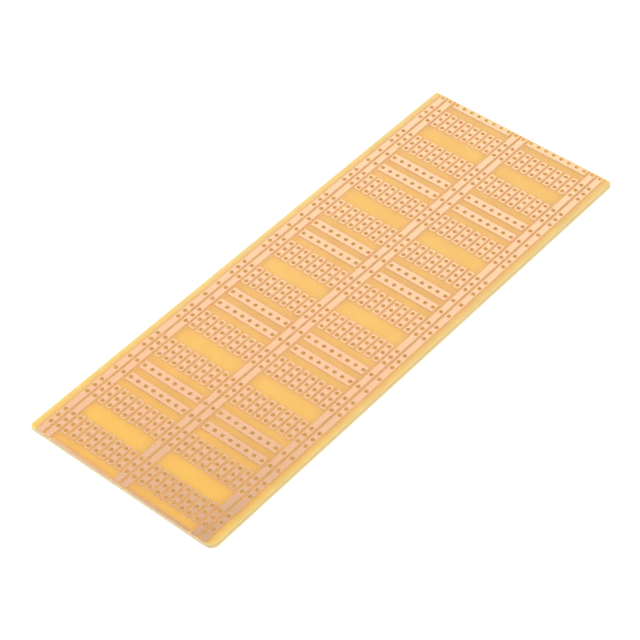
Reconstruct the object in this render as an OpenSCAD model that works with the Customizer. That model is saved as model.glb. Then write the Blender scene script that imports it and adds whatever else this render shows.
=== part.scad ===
// Prototype board: a drilled laminate sheet with a bare copper pattern on its upper face.
// The pattern is one bay repeated along the board, between three pairs of full-length rails.
// X runs across the columns of holes, Y along the board toward its far end, Z up.
// The origin is at the centre of the bare underside.

/* [Grid] */
// Spacing of the holes in both directions
pitch = 2.54; // [2:0.02:3.2]
// Diameter of every drilled hole
hole_d = 1.2; // [0.8:0.05:1.5]
// Number of bays along the board
bays = 5; // [1:1:6]
// Columns of lands in each half of a bay
land_columns = 8; // [3:1:12]

/* [Sheet] */
// Thickness of the laminate
board_t = 1.5; // [0.8:0.1:3.2]
// From the outer columns of holes to the long edges
side_margin = 3.175; // [1.6:0.005:8]
// From the first row of holes to the far edge
far_margin = 0.95; // [0.8:0.05:6]
// How far inside the last row's line the near edge was cut
near_cut = 0.8; // [0:0.05:1.2]
// Radius of three of the corners
corner_r = 0.9; // [0.3:0.1:3]
// Radius of the near right corner, which is rounded more
near_right_r = 2.3; // [0.3:0.1:4]

/* [Copper] */
// Thickness of the copper foil
foil_t = 0.035; // [0.018:0.001:0.105]
// Width of a rail
rail_w = 1.8; // [1.5:0.05:1.95]
// Width of a three-hole land
land_w = 1.8; // [1.5:0.05:1.95]
// How far a land runs past its end holes
land_end = 1.08; // [0.8:0.02:1.6]
// Width of a cross strip
strip_w = 2.9; // [1.6:0.05:3.6]
// How far a cross strip runs past its end holes
strip_end = 0.8; // [0.7:0.05:1]
// Radius of the corners of the lands and strips
etch_r = 0.2; // [0.05:0.05:0.5]

/* [Hidden] */
node = "all";
arc_steps = 32;
spill = 1;

// Rows of one bay, counted from its first strip toward the near edge
bay_rows = 13;
strip_rows = [0, 11];
land_rows = [[2, 3, 4], [7, 8, 9]];
drilled_rows = [0, 2, 3, 4, 7, 8, 9, 11];
last_row = bay_rows * (bays - 1) + strip_rows[1];

// First column of each rail pair and of each block of lands, counted from the left
rail_pair = 2;
half_columns = rail_pair + land_columns;
columns = 2 * half_columns + rail_pair;
rail_columns = [for (first = [0, half_columns, 2 * half_columns], i = [0:rail_pair - 1]) first + i];
block_starts = [rail_pair, half_columns + rail_pair];

board_w = (columns - 1) * pitch + 2 * side_margin;
board_l = last_row * pitch + far_margin - near_cut;

function column_x(c) = (c - (columns - 1) / 2) * pitch;
function row_y(r) = board_l / 2 - far_margin - r * pitch;

// Rows whose holes lie clear of the near edge
hole_rows = [
    for (b = [0:bays - 1], r = drilled_rows)
        if (row_y(b * bay_rows + r) - hole_d / 2 > -board_l / 2) b * bay_rows + r
];

RAILS = [
    "left_outer_rail", "left_inner_rail",
    "centre_left_rail", "centre_right_rail",
    "right_inner_rail", "right_outer_rail"
];
HALVES = ["left", "right"];
ENDS = ["far", "near"];
function strip_name(b, half, end) = str("bay_", b + 1, "_", HALVES[half], "_", ENDS[end], "_strip");
function lands_name(b, half, end) = str("bay_", b + 1, "_", HALVES[half], "_", ENDS[end], "_lands");

NODES = concat(
    ["base_laminate"],
    RAILS,
    [for (b = [0:bays - 1], half = [0, 1], end = [0, 1]) strip_name(b, half, end)],
    [for (b = [0:bays - 1], half = [0, 1], end = [0, 1]) lands_name(b, half, end)]
);

// What rounding takes off a corner whose tip is at the origin, inside lying toward -X and -Y
module corner_waste(r) {
    difference() {
        translate([-r, -r]) square(r + spill);
        translate([-r, -r]) circle(r, $fn = arc_steps);
    }
}

// Rectangle of the given size about the origin, with one radius for each corner:
// far right, far left, near left, near right
module rounded_rectangle(size, radii) {
    tips = [[1, 1], [-1, 1], [-1, -1], [1, -1]];
    difference() {
        square(size, center = true);
        for (i = [0:3])
            translate([tips[i].x * size.x / 2, tips[i].y * size.y / 2])
                mirror([tips[i].x < 0 ? 1 : 0, 0])
                    mirror([0, tips[i].y < 0 ? 1 : 0])
                        corner_waste(radii[i]);
    }
}

module board_outline() {
    rounded_rectangle([board_w, board_l], [corner_r, corner_r, corner_r, near_right_r]);
}

module holes(column_list, row_list) {
    for (c = column_list, r = row_list)
        translate([column_x(c), row_y(r)]) circle(d = hole_d, $fn = arc_steps);
}

// A copper piece: its outline stops at the edge of the board and the holes pass through it
module foil(column_list, row_list) {
    color([0.97, 0.79, 0.62])
        translate([0, 0, board_t])
            linear_extrude(foil_t)
                difference() {
                    intersection() {
                        board_outline();
                        children();
                    }
                    holes(column_list, row_list);
                }
}

module base_laminate() {
    color([0.95, 0.76, 0.42])
        linear_extrude(board_t)
            difference() {
                board_outline();
                holes([0:columns - 1], hole_rows);
            }
}

// A rail runs out at both ends of the board
module rail(c) {
    foil([c], hole_rows)
        translate([column_x(c), 0]) square([rail_w, board_l + 2 * spill], center = true);
}

function block_columns(half) = [for (i = [0:land_columns - 1]) block_starts[half] + i];
function drilled(rows) = [for (r = rows) if (len(search(r, hole_rows)) > 0) r];

// A strip joins a whole row of holes between two rail pairs
module cross_strip(half, row) {
    cs = block_columns(half);
    middle = (column_x(cs[0]) + column_x(cs[land_columns - 1])) / 2;
    length = (land_columns - 1) * pitch + 2 * strip_end;
    foil(cs, drilled([row]))
        translate([middle, row_y(row)])
            rounded_rectangle([length, strip_w], [for (i = [0:3]) etch_r]);
}

// A bank of separate lands, each joining three holes of its column
module lands(half, rows) {
    cs = block_columns(half);
    length = (rows[2] - rows[0]) * pitch + 2 * land_end;
    foil(cs, drilled(rows))
        for (c = cs)
            translate([column_x(c), row_y(rows[1])])
                rounded_rectangle([land_w, length], [for (i = [0:3]) etch_r]);
}

function shown(name) = node == "all" || node == name;

if (shown("base_laminate")) base_laminate();
for (i = [0:len(RAILS) - 1])
    if (shown(RAILS[i])) rail(rail_columns[i]);
for (b = [0:bays - 1], half = [0, 1], end = [0, 1]) {
    if (shown(strip_name(b, half, end)))
        cross_strip(half, b * bay_rows + strip_rows[end]);
    if (shown(lands_name(b, half, end)))
        lands(half, [for (r = land_rows[end]) b * bay_rows + r]);
}
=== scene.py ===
"""Looks of the prototype board: a translucent drilled laminate under a bare copper pattern."""
import functools
import math

import bmesh
import bpy
from mathutils import Matrix, Vector


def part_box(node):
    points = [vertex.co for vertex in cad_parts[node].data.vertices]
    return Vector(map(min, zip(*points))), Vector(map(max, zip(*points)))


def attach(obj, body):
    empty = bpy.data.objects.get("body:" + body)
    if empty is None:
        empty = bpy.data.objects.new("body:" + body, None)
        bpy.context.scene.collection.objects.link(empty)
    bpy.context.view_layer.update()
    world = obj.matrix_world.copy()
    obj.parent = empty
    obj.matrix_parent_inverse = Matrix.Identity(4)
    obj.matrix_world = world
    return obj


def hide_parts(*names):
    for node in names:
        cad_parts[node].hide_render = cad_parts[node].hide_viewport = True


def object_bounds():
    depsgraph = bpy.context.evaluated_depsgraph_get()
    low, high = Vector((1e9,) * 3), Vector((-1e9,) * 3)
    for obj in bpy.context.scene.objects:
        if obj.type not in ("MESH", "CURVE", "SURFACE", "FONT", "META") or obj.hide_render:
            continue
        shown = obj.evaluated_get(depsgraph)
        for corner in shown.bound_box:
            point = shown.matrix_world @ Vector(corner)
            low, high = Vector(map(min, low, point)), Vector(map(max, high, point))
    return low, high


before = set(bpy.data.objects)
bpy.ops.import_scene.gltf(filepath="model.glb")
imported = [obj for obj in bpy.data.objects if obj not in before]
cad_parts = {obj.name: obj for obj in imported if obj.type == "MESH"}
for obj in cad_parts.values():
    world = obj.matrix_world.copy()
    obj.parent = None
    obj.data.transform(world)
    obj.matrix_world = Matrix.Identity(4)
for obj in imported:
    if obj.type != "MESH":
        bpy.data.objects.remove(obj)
cad_low, cad_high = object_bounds()

# Driving sizes of the board, in metres
PITCH = 0.00254
HOLE_R = 0.0006
ETCH_R = 0.0002
CORNER_R = 0.0009
NEAR_RIGHT_R = 0.0023

# Columns of a bank of lands, and rows of one bay
BANK_COLUMNS = 8
BAY_ROWS = 13

# How far the etched side of the foil slopes in, and how much of that lies below its middle height
FOIL_SLOPE = 0.000015
FOIL_BOW = 0.4

# How far the sheet's edge is broken, and how much of that is left at the middle of the break
SHEET_RIM = 0.00008
RIM_BOW = 0.3

# Points on a hole's rim, and on each rounded corner
HOLE_STEPS = 24
CORNER_STEPS = 12

# Places closer than this count as one
NEARLY = 0.00001

# What a side face is marked with on the outline and in a hole. Faces above and below have no mark
EDGE_MARK = 1.0
HOLE_MARK = 0.5

# How far light spreads inside the sheet, and how far its slant carries the shade of the copper, for the
# shade painted into the laminate's colour
LIGHT_REACH = 0.0013
LIGHT_SLANT = Vector((0.00015, -0.00020))

# Share of open sheet within that reach: between close lands, and in the middle of a bay
CLOSE_SHARE = 0.29
OPEN_SHARE = 0.93

# Stops of the ramps that hold the open shares. A ramp takes 32 at most
RAMP_STOPS = 31

# Face of the laminate with the copper's shade painted in: painted shade between close lands, half out in
# the open, and painted light in the middle of a bay
PAINTED_SHADE_CLOSED = (0.865, 0.472, 0.176)
PAINTED_SHADE_HALF = (0.872, 0.530, 0.1675)
PAINTED_LIGHT_OPEN = (0.97, 0.60, 0.165)

# What the face is tinted with at the near end
NEAR_TINT = (1.0, 0.985, 0.78)

# Painted light along the two sides, where light comes in through the cut edges, with their reach, and a
# darker rim along the left one
PAINTED_LIGHT_LEFT = (0.85, 0.675, 0.31)
LEFT_REACH = 0.0028
PAINTED_LIGHT_RIGHT = (0.81, 0.665, 0.31)
RIGHT_REACH = 0.0020
RIGHT_SHARE = 0.8
DARK_LEFT_RIM = (0.72, 0.57, 0.36)
DARK_RIM_REACH = 0.0006

# Walls of the holes, paler than the faces as drilled and partly brightened as painted light in the holes'
# shade, and the cut edges along the sides and across the ends, painted as lit and shaded copies of one cut
# face
WALL = (1.0, 0.70, 0.30)
CUT_LONG = (0.82, 0.61, 0.265)
CUT_END = (0.72, 0.56, 0.325)

# Gloss of the laminate, and how its colours scatter inside it
LAMINATE_ROUGHNESS = 0.35
SCATTER_RADII = (0.9, 0.9, 0.4)
SCATTER_REACH = 0.0015

# Copper, its bonded side, and the darker copper near the board's ends
COPPER = (0.985, 0.585, 0.36)
BOND_SIDE = (0.10, 0.05, 0.03)
DARKER_ENDS = (0.92, 0.55, 0.30)
DARK_END_REACH = 0.0006
COPPER_ROUGHNESS = 0.24

# Textures: how many features a metre along each axis, and how much finer detail
CLOUDS = (140, 140, 140), 3.0
FIBRES = (700, 2400, 2400), 3.0
PLIES = (900, 900, 9000), 2.0
BRUSHING = (9000, 250, 250), 2.0
TARNISH = (220, 220, 220), 4.0

# How strongly the textures change the tone and the roughness, and how high they stand, in metres
CLOUD_TONE = 0.16
FIBRE_TONE = 0.05
FIBRE_HEIGHT = 0.000003
PLY_TONE = 0.30
BRUSH_TONE = 0.05
BRUSH_ROUGHNESS = 0.12
BRUSH_HEIGHT = 0.0000015
TARNISH_TONE = 0.09
TARNISH_ROUGHNESS = 0.08

# How far a normal leans before its face counts as an end of the board, or as an underside
END_LEAN = 0.7
UNDER_LEAN = -0.5

# The camera that was fitted to the photo, in metres, degrees and millimetres
CAMERA_PLACE = Vector((0.26189, -0.30465, 0.40914))
CAMERA_AIM = Vector((0.00121, -0.00741, 0.0))
CAMERA_ROLL = -1.548
LENS_MM = 125.95
SENSOR_MM = 36.0

# The floor, and how much it glows to the camera and to other rays
FLOOR_HALF = 2.0
FLOOR_GREY = 0.8
FLOOR_ROUGHNESS = 0.9
GLOW_SEEN = 0.55
GLOW_LIT = 0.42

# The world as a light, and as the copper mirrors it: a room with a bright panel and a dark disc.
# Each of those two has a direction, and the cosines between which its edge fades
WORLD_LIGHT = 0.65
ROOM_LEVEL = 0.97
PANEL_LEVEL = 1.29
PANEL_WAY = (-0.585, 0.789, 0.187)
PANEL_EDGE = (0.757, 0.782)
DARK_WAY = (-0.34, 0.315, 0.886)
DARK_EDGE = (0.977, 0.987)

# The one lamp, aimed at the middle of the board
LAMP_PLACE = (-0.75, -0.35, 0.8)
LAMP_WIDTH = 0.7
LAMP_POWER = 7.0


def make_camera():
    data = bpy.data.cameras.new("camera")
    data.lens = LENS_MM
    data.sensor_width = SENSOR_MM
    camera = bpy.data.objects.new("camera", data)
    bpy.context.scene.collection.objects.link(camera)
    facing = (CAMERA_AIM - CAMERA_PLACE).to_track_quat("-Z", "Y").to_matrix().to_4x4()
    roll = Matrix.Rotation(math.radians(CAMERA_ROLL), 4, "Z")
    camera.matrix_world = Matrix.Translation(CAMERA_PLACE) @ facing @ roll
    bpy.context.scene.camera = camera


# Outlines: a loop is a list of (point, outward normal), so that it can be drawn in by any amount

def arc(centre, radius, start):
    """A quarter turn anticlockwise from the angle start, in quarter turns."""
    turns = [(start + i / CORNER_STEPS) * math.pi / 2 for i in range(CORNER_STEPS + 1)]
    ways = [Vector((math.cos(a), math.sin(a))) for a in turns]
    return [(centre + radius * way, way) for way in ways]


def rounded_loop(low, high, radii):
    """Anticlockwise loop of a rectangle. radii: near left, near right, far right, far left."""
    signs = [(-1, -1), (1, -1), (1, 1), (-1, 1)]
    loop = []
    for quarter, ((sx, sy), radius) in enumerate(zip(signs, radii)):
        tip = Vector((high.x if sx > 0 else low.x, high.y if sy > 0 else low.y))
        way = Vector((sx, sy))
        if radius:
            loop += arc(tip - radius * way, radius, quarter + 2)
        else:
            loop.append((tip, way))
    return loop


def hole_loop(centre):
    """Clockwise loop of a hole, whose outward normals point at its own axis."""
    turns = [-2 * math.pi * i / HOLE_STEPS for i in range(HOLE_STEPS)]
    ways = [Vector((math.cos(a), math.sin(a))) for a in turns]
    return [(centre + HOLE_R * way, -way) for way in ways]


def plate(name, outlines, holes, outline_profile, hole_profile):
    """A closed plate with drilled holes. A profile is a list of (inset, height) from the bottom up."""
    work = bmesh.new()
    cut = work.faces.layers.float.new("cut")
    bottom, top = [], []
    sides = [(loop, outline_profile, EDGE_MARK) for loop in outlines]
    sides += [(loop, hole_profile, HOLE_MARK) for loop in holes]
    for loop, profile, mark in sides:
        rings = [
            [work.verts.new((*(point - inset * way), z)) for point, way in loop]
            for inset, z in profile
        ]
        count = len(loop)
        for under, over in zip(rings, rings[1:]):
            for j in range(count):
                k = (j + 1) % count
                face = work.faces.new((under[j], under[k], over[k], over[j]))
                face.smooth = True
                face[cut] = mark
        for ring, edges in ((rings[0], bottom), (rings[-1], top)):
            edges += [work.edges.get((ring[j], ring[(j + 1) % count])) for j in range(count)]
    for edges, up in ((bottom, -1), (top, 1)):
        cap = bmesh.ops.triangle_fill(work, edges=edges, use_beauty=False, normal=(0, 0, up))
        for face in cap["geom"]:
            if isinstance(face, bmesh.types.BMFace) and face.normal.z * up < 0:
                face.normal_flip()
    mesh = bpy.data.meshes.new(name)
    work.to_mesh(mesh)
    work.free()
    piece = bpy.data.objects.new(name, mesh)
    bpy.context.scene.collection.objects.link(piece)
    return piece


# The layout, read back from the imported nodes

@functools.lru_cache(maxsize=None)
def span(node):
    low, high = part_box(node)
    return Vector(low), Vector(high)


def middle(node):
    low, high = span(node)
    return (low + high) / 2


RAILS = [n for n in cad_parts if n.endswith("_rail")]
STRIPS = [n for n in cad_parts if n.endswith("_strip")]
BANKS = [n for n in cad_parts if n.endswith("_lands")]

sheet_low, sheet_high = span("base_laminate")
strip_w = max(span(n)[1].y - span(n)[0].y for n in STRIPS)
bay_length = BAY_ROWS * PITCH


def strip_row(node):
    """Height along Y of a strip's row of holes. The board's ends cut the outermost strips short."""
    low, high = span(node)
    return low.y + strip_w / 2 if high.y > sheet_high.y - NEARLY else high.y - strip_w / 2


def is_drilled(node):
    return strip_row(node) - HOLE_R > sheet_low.y


def bank_columns(node):
    return [middle(node).x + (i - (BANK_COLUMNS - 1) / 2) * PITCH for i in range(BANK_COLUMNS)]


def bank_rows(node):
    return [middle(node).y + i * PITCH for i in (-1, 0, 1)]


def ordered(places):
    """The separate places in rising order, to the nearest micrometre."""
    return sorted({round(place, 6) for place in places})


columns = ordered([x for n in BANKS for x in bank_columns(n)] + [middle(n).x for n in RAILS])
rows = ordered([y for n in BANKS for y in bank_rows(n)] + [strip_row(n) for n in STRIPS if is_drilled(n)])


def drill(column_list, row_list):
    return [hole_loop(Vector((x, y))) for x in column_list for y in row_list]


def make_laminate():
    radii = (CORNER_R, NEAR_RIGHT_R, CORNER_R, CORNER_R)
    low, high = sheet_low.z, sheet_high.z
    bow = RIM_BOW * SHEET_RIM
    broken = [(SHEET_RIM, low), (bow, low + bow), (0, low + SHEET_RIM)]
    broken += [(inset, low + high - z) for inset, z in reversed(broken)]
    outline = rounded_loop(sheet_low, sheet_high, radii)
    return plate("laminate_sheet", [outline], drill(columns, rows), broken, [(0, low), (0, high)])


def make_foil(node, outlines, column_list, row_list):
    low, high = span(node)[0].z, span(node)[1].z
    etched = [(0, low), (FOIL_BOW * FOIL_SLOPE, (low + high) / 2), (FOIL_SLOPE, high)]
    return plate(node + "_foil", outlines, drill(column_list, row_list), etched, etched)


def make_rail(node):
    low, high = span(node)
    return make_foil(node, [rounded_loop(low, high, (0, 0, 0, 0))], [middle(node).x], rows)


def make_strip(node):
    low, high = span(node)
    far = 0 if high.y > sheet_high.y - NEARLY else ETCH_R
    near = 0 if low.y < sheet_low.y + NEARLY else ETCH_R
    drilled = [strip_row(node)] if is_drilled(node) else []
    return make_foil(node, [rounded_loop(low, high, (near, near, far, far))], bank_columns(node), drilled)


def make_bank(node):
    low, high = span(node)
    land_w = high.x - low.x - (BANK_COLUMNS - 1) * PITCH
    radii = (ETCH_R,) * 4
    outlines = [
        rounded_loop(Vector((x - land_w / 2, low.y)), Vector((x + land_w / 2, high.y)), radii)
        for x in bank_columns(node)
    ]
    return make_foil(node, outlines, bank_columns(node), bank_rows(node))


# How open the sheet is to the light, for the copper's shade painted into the laminate's colour: the open
# parts of the copper pattern, softened by the light's reach

def spread(spans, place):
    """Share of a normal curve around the place that falls in the spans."""
    def below(edge):
        return (1 + math.erf((edge - place) / LIGHT_REACH / math.sqrt(2))) / 2
    return sum(share * (below(end) - below(start)) for start, end, share in spans)


def gaps_between(solid_spans, start, end):
    """The spans that the solid ones leave between the start and the end."""
    edges = [start] + [edge for solid in sorted(solid_spans) for edge in solid] + [end]
    return [(a, b, 1.0) for a, b in zip(edges[::2], edges[1::2])]


def open_columns():
    """Open spans across the board: those that the blocks of lands stand in, and all the others."""
    rail_spans = [(span(n)[0].x, span(n)[1].x) for n in RAILS]
    far_out = 4 * sheet_high.x
    gaps = gaps_between(rail_spans, -far_out, far_out)
    blocks = [
        (a, b, share) for a, b, share in gaps
        if b - a > BANK_COLUMNS / 2 * PITCH and b < sheet_high.x and a > sheet_low.x
    ]
    return blocks, [gap for gap in gaps if gap not in blocks]


def open_rows():
    """Open spans down one bay and its neighbours, with distances measured from the first row."""
    solid = {}
    for node in STRIPS + BANKS:
        low, high = span(node)
        full = node in STRIPS
        middle_y = strip_row(node) if full else middle(node).y
        half = strip_w / 2 if full else (high.y - low.y) / 2
        place = (rows[-1] - middle_y) % bay_length
        solid[round(place, 6)] = (half, 0.0 if full else CLOSE_SHARE)
    spans = []
    for bay in (-1, 0, 1, 2):
        for place, (half, share) in solid.items():
            spans.append((bay * bay_length + place - half, bay * bay_length + place + half, share))
    spans.sort()
    clear = [(a[1], b[0], 1.0) for a, b in zip(spans, spans[1:])]
    return spans + clear


# Materials

class Nodes:
    """The node tree of a new material or world, with short ways to add and join nodes."""

    def __init__(self, owner, shader):
        owner.use_nodes = True
        self.owner = owner
        self.tree = owner.node_tree
        self.shader = self.tree.nodes[shader]

    def add(self, kind, **values):
        """A new node. A value goes to the input of that name, or else to the node's own setting."""
        node = self.tree.nodes.new(kind)
        for key, value in values.items():
            if key in node.inputs:
                node.inputs[key].default_value = value
            else:
                setattr(node, key, value)
        return node

    def join(self, source, target):
        self.tree.links.new(source, target)

    def maths(self, operation, *values):
        """A Math node. A value is a number or another node's output."""
        node = self.add("ShaderNodeMath", operation=operation)
        for value, target in zip(values, node.inputs):
            if isinstance(value, (int, float)):
                target.default_value = value
            else:
                self.join(value, target)
        return node.outputs[0]

    def vary(self, base, source, strength):
        """The base, changed by the source times the strength."""
        return self.maths("MULTIPLY_ADD", source, strength, base)

    def mix(self, share, first, second):
        """A colour mix. A colour is a tuple or another node's output."""
        node = self.add("ShaderNodeMix", data_type="RGBA")
        self.join(share, node.inputs["Factor"])
        for value, target in ((first, node.inputs[6]), (second, node.inputs[7])):
            if isinstance(value, tuple):
                target.default_value = (*value, 1)
            else:
                self.join(value, target)
        return node.outputs[2]

    def ramp(self, source, colours):
        """A colour ramp with evenly spaced stops over 0 to 1."""
        node = self.add("ShaderNodeValToRGB")
        stops = node.color_ramp.elements
        last = len(colours) - 1
        stops[1].position = 1
        for i in range(1, last):
            stops.new(i / last)
        for stop, colour in zip(stops, colours):
            stop.color = (*colour, 1)
        self.join(source, node.inputs["Fac"])
        return node.outputs["Color"]

    def smooth(self, source, start, end, low, high):
        """Low before the start and high past the end, with a smooth step between them."""
        node = self.add("ShaderNodeMapRange", interpolation_type="SMOOTHSTEP")
        limits = {"From Min": start, "From Max": end, "To Min": low, "To Max": high}
        for key, value in limits.items():
            node.inputs[key].default_value = value
        self.join(source, node.inputs["Value"])
        return node.outputs["Result"]

    def split(self, source):
        node = self.add("ShaderNodeSeparateXYZ")
        self.join(source, node.inputs[0])
        return node.outputs

    def split_colour(self, source):
        node = self.add("ShaderNodeSeparateColor")
        self.join(source, node.inputs[0])
        return node.outputs


def new_material(name):
    return Nodes(bpy.data.materials.new(name), "Principled BSDF")


def openness(nodes, x, y):
    """How much light the copper's painted shade leaves: from 0 between close lands to 1 in the middle of a
    bay.
    """
    stops = [i / (RAMP_STOPS - 1) for i in range(RAMP_STOPS)]
    blocks, others = open_columns()
    from_middle = nodes.maths("ABSOLUTE", nodes.maths("SUBTRACT", x, LIGHT_SLANT.x))
    across = nodes.maths("DIVIDE", from_middle, sheet_high.x)
    columns_ramp = [(spread(blocks, t * sheet_high.x), spread(others, t * sheet_high.x), 0) for t in stops]
    block, side, _ = nodes.split_colour(nodes.ramp(across, columns_ramp))
    down = nodes.maths("SUBTRACT", rows[-1] + LIGHT_SLANT.y, y)
    along = nodes.maths("FRACT", nodes.maths("DIVIDE", down, bay_length))
    spans = open_rows()
    rows_ramp = [(spread(spans, t * bay_length),) * 3 for t in stops]
    share = nodes.maths("MULTIPLY_ADD", block, nodes.ramp(along, rows_ramp), side)
    return nodes.maths("DIVIDE", nodes.maths("SUBTRACT", share, CLOSE_SHARE), OPEN_SHARE - CLOSE_SHARE)


def fade(nodes, distance, reach, strength=1.0):
    """From the strength at no distance down to 0 at the reach."""
    slope = nodes.maths("MULTIPLY_ADD", distance, -strength / reach, strength)
    return nodes.maths("MAXIMUM", slope, 0.0)


def noise(nodes, place, scale, detail):
    """Noise around 0. The scale is a count of features a metre, along each axis."""
    stretch = nodes.add("ShaderNodeVectorMath", operation="MULTIPLY")
    nodes.join(place, stretch.inputs[0])
    stretch.inputs[1].default_value = scale
    texture = nodes.add("ShaderNodeTexNoise", Scale=1.0, Detail=detail)
    nodes.join(stretch.outputs[0], texture.inputs["Vector"])
    return nodes.maths("SUBTRACT", texture.outputs["Fac"], 0.5)


def scaled(nodes, colour, factor):
    node = nodes.add("ShaderNodeVectorMath", operation="SCALE")
    nodes.join(colour, node.inputs[0])
    nodes.join(factor, node.inputs["Scale"])
    return node.outputs[0]


def tinted(nodes, colour, tint):
    node = nodes.add("ShaderNodeVectorMath", operation="MULTIPLY")
    nodes.join(colour, node.inputs[0])
    nodes.join(tint, node.inputs[1])
    return node.outputs[0]


def bump(nodes, height, distance):
    node = nodes.add("ShaderNodeBump", Strength=1.0, Distance=distance)
    nodes.join(height, node.inputs["Height"])
    nodes.join(node.outputs["Normal"], nodes.shader.inputs["Normal"])


def face_colour(nodes, place, fibres):
    """The laminate's faces: with the copper's shade painted in, painted light along the sides, a darker
    rim on the left and browner at the near end.
    """
    x, y, _ = nodes.split(place)
    from_left = nodes.maths("SUBTRACT", x, sheet_low.x)
    from_right = nodes.maths("SUBTRACT", sheet_high.x, x)
    # The copper's painted shade on the face, by how open the sheet is to the light
    light = nodes.ramp(openness(nodes, x, y), [PAINTED_SHADE_CLOSED, PAINTED_SHADE_HALF, PAINTED_LIGHT_OPEN])
    # Painted light along the two sides, stronger on the left, where light comes in through the cut edges
    light = nodes.mix(fade(nodes, from_right, RIGHT_REACH, RIGHT_SHARE), light, PAINTED_LIGHT_RIGHT)
    light = nodes.mix(fade(nodes, from_left, LEFT_REACH), light, PAINTED_LIGHT_LEFT)
    # A darker rim along the left edge
    light = nodes.mix(fade(nodes, from_left, DARK_RIM_REACH), light, DARK_LEFT_RIM)
    nearness = nodes.smooth(y, 0.0, sheet_low.y, 0.0, 1.0)
    light = tinted(nodes, light, nodes.mix(nearness, (1.0, 1.0, 1.0), NEAR_TINT))
    clouds = nodes.vary(1.0, noise(nodes, place, *CLOUDS), CLOUD_TONE)
    return scaled(nodes, light, nodes.vary(clouds, fibres, FIBRE_TONE))


def cut_colour(nodes, place):
    """The laminate's cut edges, painted lighter along the sides and darker across the ends for how light
    falls on each, with its plies showing as faint lines.
    """
    normal = nodes.split(nodes.add("ShaderNodeNewGeometry").outputs["True Normal"])
    at_end = nodes.maths("GREATER_THAN", nodes.maths("ABSOLUTE", normal["Y"]), END_LEAN)
    plies = nodes.vary(1.0, noise(nodes, place, *PLIES), PLY_TONE)
    return scaled(nodes, nodes.mix(at_end, CUT_LONG, CUT_END), plies)


def make_laminate_material():
    nodes = new_material("laminate")
    shader = nodes.shader
    shader.inputs["Roughness"].default_value = LAMINATE_ROUGHNESS
    shader.inputs["Subsurface Weight"].default_value = 1.0
    shader.inputs["Subsurface Radius"].default_value = SCATTER_RADII
    shader.inputs["Subsurface Scale"].default_value = SCATTER_REACH
    place = nodes.add("ShaderNodeTexCoord").outputs["Object"]
    fibres = noise(nodes, place, *FIBRES)
    mark = nodes.add("ShaderNodeAttribute", attribute_name="cut").outputs["Fac"]
    in_hole = nodes.maths("GREATER_THAN", mark, HOLE_MARK / 2)
    on_edge = nodes.maths("GREATER_THAN", mark, (HOLE_MARK + EDGE_MARK) / 2)
    # Hole walls: paler as drilled, and brightened with painted light where the holes lie in shade
    drilled = nodes.mix(in_hole, face_colour(nodes, place, fibres), WALL)
    colour = nodes.mix(on_edge, drilled, cut_colour(nodes, place))
    nodes.join(colour, shader.inputs["Base Color"])
    bump(nodes, fibres, FIBRE_HEIGHT)
    return nodes.owner


def make_copper_material():
    nodes = new_material("copper")
    shader = nodes.shader
    shader.inputs["Metallic"].default_value = 1.0
    place = nodes.add("ShaderNodeTexCoord").outputs["Object"]
    brushed = noise(nodes, place, *BRUSHING)
    tarnish = noise(nodes, place, *TARNISH)
    from_middle = nodes.maths("ABSOLUTE", nodes.split(place)["Y"])
    # Darker copper within a short reach of the board's two ends
    end_darkening = fade(nodes, nodes.maths("SUBTRACT", sheet_high.y, from_middle), DARK_END_REACH)
    tone = nodes.vary(nodes.vary(1.0, tarnish, TARNISH_TONE), brushed, BRUSH_TONE)
    metal = scaled(nodes, nodes.mix(end_darkening, COPPER, DARKER_ENDS), tone)
    smudged = nodes.vary(COPPER_ROUGHNESS, tarnish, TARNISH_ROUGHNESS)
    nodes.join(nodes.vary(smudged, brushed, BRUSH_ROUGHNESS), shader.inputs["Roughness"])
    normal = nodes.split(nodes.add("ShaderNodeNewGeometry").outputs["True Normal"])
    bare = nodes.maths("GREATER_THAN", normal["Z"], UNDER_LEAN)
    nodes.join(nodes.mix(bare, BOND_SIDE, metal), shader.inputs["Base Color"])
    bump(nodes, brushed, BRUSH_HEIGHT)
    return nodes.owner


def dress(piece, node, material):
    piece.data.materials.append(material)
    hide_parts(node)
    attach(piece, "root")


# Floor, light and backdrop

def glowing(nodes, strength):
    """The material's own shader with a glow added to it."""
    glow = nodes.add("ShaderNodeEmission", Strength=strength)
    both = nodes.add("ShaderNodeAddShader")
    nodes.join(nodes.shader.outputs[0], both.inputs[0])
    nodes.join(glow.outputs[0], both.inputs[1])
    return both.outputs[0]


def make_floor():
    """A pale floor. Its glow makes it white to the camera, and a little darker as a light."""
    half = FLOOR_HALF
    corners = [(-half, -half, 0), (half, -half, 0), (half, half, 0), (-half, half, 0)]
    mesh = bpy.data.meshes.new("floor")
    mesh.from_pydata(corners, [], [(0, 1, 2, 3)])
    floor = bpy.data.objects.new("floor", mesh)
    floor.location.z = cad_low[2] - NEARLY
    bpy.context.scene.collection.objects.link(floor)
    nodes = new_material("floor")
    nodes.shader.inputs["Base Color"].default_value = (FLOOR_GREY, FLOOR_GREY, FLOOR_GREY, 1)
    nodes.shader.inputs["Roughness"].default_value = FLOOR_ROUGHNESS
    rays = nodes.add("ShaderNodeLightPath")
    pick = nodes.add("ShaderNodeMixShader")
    nodes.join(rays.outputs["Is Camera Ray"], pick.inputs[0])
    nodes.join(glowing(nodes, GLOW_LIT), pick.inputs[1])
    nodes.join(glowing(nodes, GLOW_SEEN), pick.inputs[2])
    nodes.join(pick.outputs[0], nodes.tree.nodes["Material Output"].inputs["Surface"])
    mesh.materials.append(nodes.owner)


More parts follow.
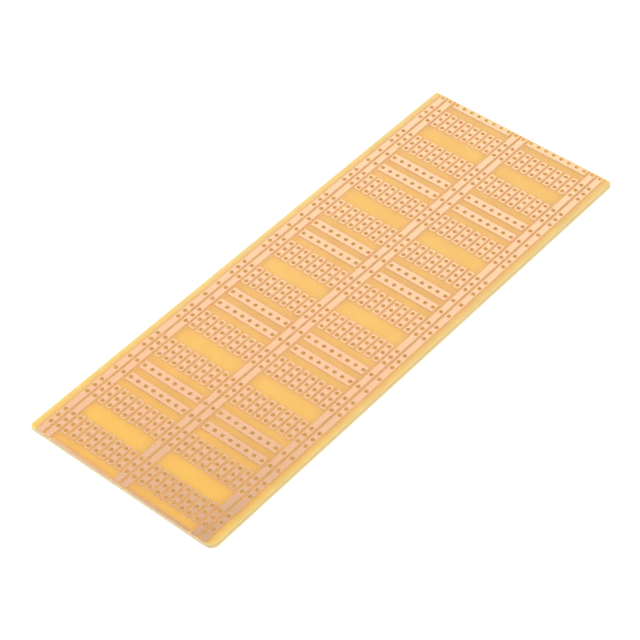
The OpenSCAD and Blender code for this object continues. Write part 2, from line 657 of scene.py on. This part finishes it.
def disc_of_ways(nodes, way, middle_way, edge, outside, inside):
    """One level within a disc of directions and another outside it."""
    closeness = nodes.add("ShaderNodeVectorMath", operation="DOT_PRODUCT")
    nodes.join(way, closeness.inputs[0])
    closeness.inputs[1].default_value = Vector(middle_way).normalized()
    return nodes.smooth(closeness.outputs["Value"], *edge, outside, inside)


def make_world():
    """White to the camera, softer as a light, and a room with a panel and a dark disc in reflections."""
    world = bpy.data.worlds.new("studio")
    bpy.context.scene.world = world
    nodes = Nodes(world, "Background")
    rays = nodes.add("ShaderNodeLightPath")
    way = nodes.add("ShaderNodeTexCoord").outputs["Generated"]
    panel = disc_of_ways(nodes, way, PANEL_WAY, PANEL_EDGE, ROOM_LEVEL, PANEL_LEVEL)
    dark = disc_of_ways(nodes, way, DARK_WAY, DARK_EDGE, 1.0, 0.0)
    reflected = nodes.add("ShaderNodeMix", A=WORLD_LIGHT)
    nodes.join(rays.outputs["Is Glossy Ray"], reflected.inputs["Factor"])
    nodes.join(nodes.maths("MULTIPLY", panel, dark), reflected.inputs["B"])
    seen = nodes.add("ShaderNodeMix", B=1.0)
    nodes.join(rays.outputs["Is Camera Ray"], seen.inputs["Factor"])
    nodes.join(reflected.outputs["Result"], seen.inputs["A"])
    nodes.join(seen.outputs["Result"], nodes.shader.inputs["Strength"])
    nodes.shader.inputs["Color"].default_value = (1, 1, 1, 1)


def make_lamp():
    """A round area lamp, aimed at the board and kept out of the copper's reflections."""
    data = bpy.data.lights.new("softbox", "AREA")
    data.shape = "DISK"
    data.size = LAMP_WIDTH
    data.energy = LAMP_POWER
    lamp = bpy.data.objects.new("softbox", data)
    lamp.location = LAMP_PLACE
    lamp.rotation_euler = (-Vector(LAMP_PLACE)).to_track_quat("-Z", "Y").to_euler()
    lamp.visible_glossy = False
    bpy.context.scene.collection.objects.link(lamp)


make_camera()
make_world()
make_floor()
make_lamp()

laminate = make_laminate_material()
copper = make_copper_material()
dress(make_laminate(), "base_laminate", laminate)
for make_piece, names in ((make_rail, RAILS), (make_strip, STRIPS), (make_bank, BANKS)):
    for name in names:
        dress(make_piece(name), name, copper)

scene = bpy.context.scene
scene.view_settings.view_transform = "Standard"
